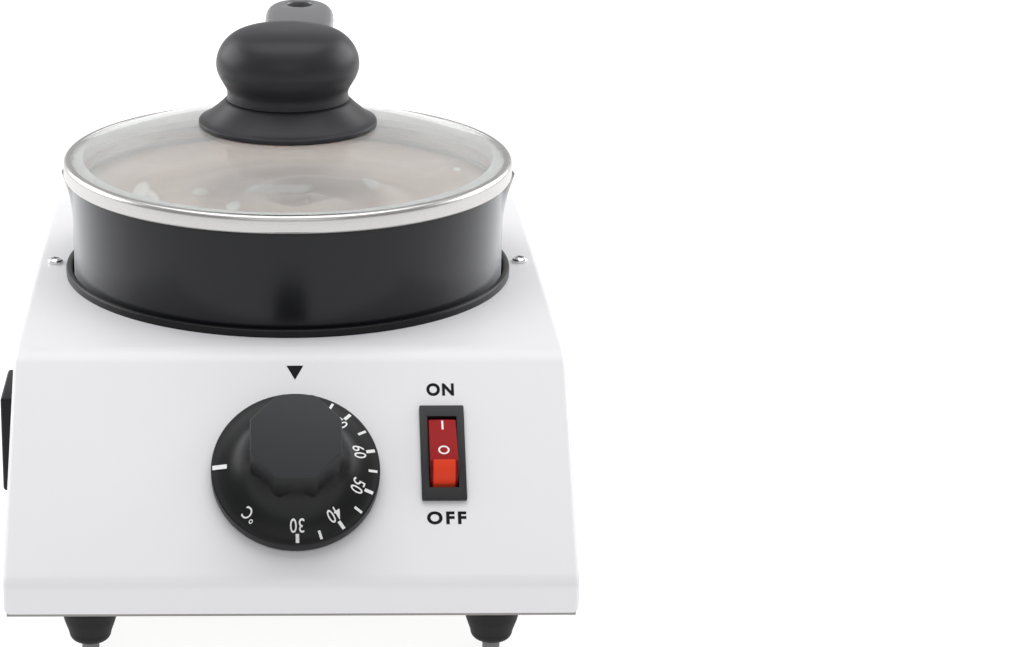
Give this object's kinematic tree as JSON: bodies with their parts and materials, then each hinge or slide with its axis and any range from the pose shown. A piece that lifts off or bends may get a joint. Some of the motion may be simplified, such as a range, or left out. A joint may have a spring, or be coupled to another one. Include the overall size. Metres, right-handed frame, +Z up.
{
  "type": "chocolate melting tank",
  "caption": "Table-top chocolate melting tank: sloped white steel housing with a heated well, lift-out pan with long handle, glass lid, temperature dial, rocker switch and mains inlet.",
  "frame": {"origin": "centre of the object's footprint box, on the surface that it stands on", "axes": "+X to the right as seen by the user, +Y from the control panel to the back, along the pan's handle, +Z up"},
  "size_m": [0.188, 0.3764, 0.1738],
  "materials": {
    "white_enamel": "semi-gloss white enamel",
    "grey_plate": "satin grey",
    "zinc_steel": "zinc plated",
    "bright_steel": "bright",
    "foot_rubber": "matt black",
    "pad_rubber": "matt grey",
    "black_coat": "satin black coating",
    "aluminium": "machined",
    "heater_sheath": "heat tinted",
    "cutout_case": "moulded",
    "control_case": "moulded",
    "brass": "bare",
    "copper": "bare",
    "black_plastic": "satin black",
    "dial_plastic": "gloss black with white marks",
    "red_plastic": "translucent red",
    "porcelain": "cream",
    "brown_wire": "sleeved",
    "blue_wire": "sleeved",
    "green_wire": "sleeved",
    "stainless": "satin",
    "glass": "clear",
    "chocolate": "glossy melted milk chocolate",
    "silicone": "pale translucent"
  },
  "bodies": {
    "base": {"housing_shell": "white_enamel", "base_plate": "grey_plate", "base_screws": "zinc_steel", "foot_screws": "zinc_steel", "foot_nuts": "zinc_steel", "well_strap": "zinc_steel", "strap_nuts": "zinc_steel", "coil_terminals": "zinc_steel", "clamp_stud": "zinc_steel", "clamp_nut": "zinc_steel", "shield_spacers": "zinc_steel", "shield_screws": "zinc_steel", "thermostat_screws": "zinc_steel", "bulb_clip": "zinc_steel", "top_screws": "bright_steel", "foot_front_left": "foot_rubber", "foot_front_right": "foot_rubber", "foot_back_left": "foot_rubber", "foot_back_right": "foot_rubber", "foot_pads": "pad_rubber", "well_liner": "black_coat", "hot_plate": "aluminium", "heat_shield": "aluminium", "heating_coil": "heater_sheath", "thermal_cutout": "cutout_case", "thermostat_body": "control_case", "thermostat_terminals": "brass", "switch_terminals": "brass", "inlet_pins": "brass", "earth_stud": "brass", "earth_nut": "brass", "earth_tag": "brass", "capillary_tube": "copper", "sensor_bulb": "copper", "switch_body": "black_plastic", "power_inlet": "black_plastic", "terminal_block": "porcelain", "wires_live": "brown_wire", "wires_neutral": "blue_wire", "wire_earth": "green_wire"},
    "dial": {"dial": "dial_plastic", "dial_spindle": "zinc_steel"},
    "rocker": {"rocker": "red_plastic"},
    "pan": {"pan_shell": "black_coat", "melted_chocolate": "chocolate", "handle_bracket": "stainless", "bracket_rivets": "bright_steel", "handle_ferrule": "stainless", "pan_handle": "black_plastic", "handle_screw": "zinc_steel"},
    "lid": {"lid_glass": "glass", "lid_band": "stainless", "lid_gasket": "silicone", "knob_base": "black_plastic", "lid_knob": "black_plastic", "knob_screw": "zinc_steel", "knob_washer": "silicone"}
  },
  "joints": [
    {"name": "pan_lift", "type": "slide", "parent": "base", "child": "pan", "axis": [0, 0, 1], "range_m": [0, 0.12]},
    {"name": "lid_lift", "type": "slide", "parent": "pan", "child": "lid", "axis": [0, 0, 1], "range_m": [0, 0.1]},
    {"name": "dial_turn", "type": "hinge", "parent": "base", "child": "dial", "pos_m": [0.0055, -0.15935, 0.05445], "axis": [0, -0.673, 0.7396], "range_deg": [-3, 273]},
    {"name": "rocker_tilt", "type": "hinge", "parent": "base", "child": "rocker", "pos_m": [0.0526, -0.14997, 0.05528], "axis": [1, 0, 0], "range_deg": [0, 30]}
  ]
}
